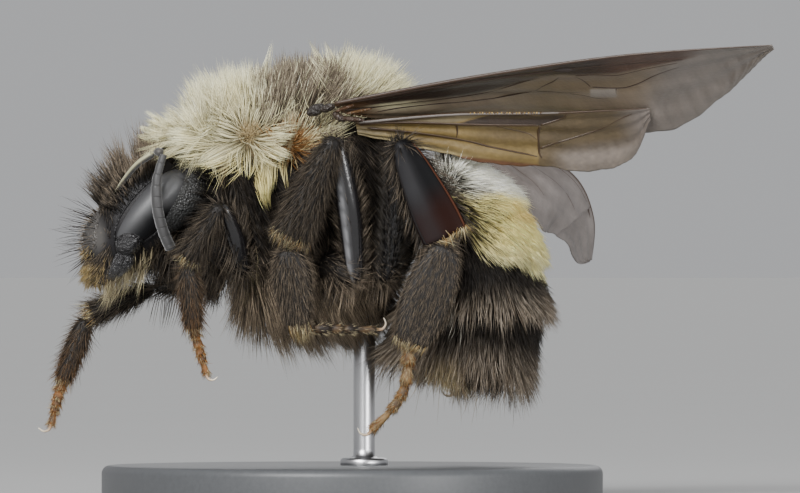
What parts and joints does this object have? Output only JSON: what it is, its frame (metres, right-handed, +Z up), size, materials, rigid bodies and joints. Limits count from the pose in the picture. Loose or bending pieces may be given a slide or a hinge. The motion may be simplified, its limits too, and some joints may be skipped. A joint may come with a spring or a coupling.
{
  "type": "bumblebee model",
  "caption": "Life-size still model of a furry bumblebee with cream and yellow bands, wings swept back, held over a round base by one rod.",
  "frame": {"origin": "centre of the underside of the round base", "axes": "+Z up; -X the way the head looks; -Y the bee's left side; +X towards the tips of the wings"},
  "size_m": [0.0303, 0.0231, 0.0192],
  "materials": {
    "coat_black": "dense matt fur, black to dark brown",
    "coat_cream": "dense matt fur, cream",
    "coat_yellow": "dense matt fur, pale yellow",
    "shell_black": "smooth dark shell, semi-gloss",
    "shell_brown": "brown shell, satin",
    "feeler_grey": "dark grey shell, matt",
    "wing_membrane": "smoky brown membrane, satin",
    "stand_paint": "dark grey paint, satin",
    "stand_steel": "plain metal, satin"
  },
  "bodies": {
    "root": {"abdomen_1": "coat_black", "abdomen_2": "coat_yellow", "abdomen_3": "coat_yellow", "abdomen_4": "coat_black", "abdomen_5": "coat_black", "abdomen_6": "coat_black", "basitarsus_fore_left": "shell_black", "basitarsus_fore_right": "shell_black", "basitarsus_hind_left": "shell_black", "basitarsus_hind_right": "shell_black", "basitarsus_mid_left": "shell_black", "basitarsus_mid_right": "shell_black", "clypeus": "shell_black", "collar": "coat_cream", "coxa_fore_left": "shell_black", "coxa_fore_right": "shell_black", "coxa_hind_left": "shell_black", "coxa_hind_right": "shell_black", "coxa_mid_left": "shell_black", "coxa_mid_right": "shell_black", "eye_left": "shell_black", "eye_right": "shell_black", "femur_fore_left": "shell_black", "femur_fore_right": "shell_black", "femur_hind_left": "shell_black", "femur_hind_right": "shell_black", "femur_mid_left": "shell_black", "femur_mid_right": "shell_black", "flagellum_left": "feeler_grey", "flagellum_right": "feeler_grey", "forewing_left": "wing_membrane", "forewing_right": "wing_membrane", "head": "coat_black", "hindwing_left": "wing_membrane", "hindwing_right": "wing_membrane", "labrum": "shell_black", "mandible_left": "shell_black", "mandible_right": "shell_black", "scape_left": "feeler_grey", "scape_right": "feeler_grey", "scutellum": "coat_cream", "stand_base": "stand_paint", "stand_rod": "stand_steel", "tarsus_fore_left": "shell_brown", "tarsus_fore_right": "shell_brown", "tarsus_hind_left": "shell_brown", "tarsus_hind_right": "shell_brown", "tarsus_mid_left": "shell_brown", "tarsus_mid_right": "shell_brown", "tegula_left": "shell_black", "tegula_right": "shell_black", "thorax": "coat_black", "tibia_fore_left": "shell_black", "tibia_fore_right": "shell_black", "tibia_hind_left": "shell_black", "tibia_hind_right": "shell_black", "tibia_mid_left": "shell_black", "tibia_mid_right": "shell_black"}
  },
  "joints": []
}
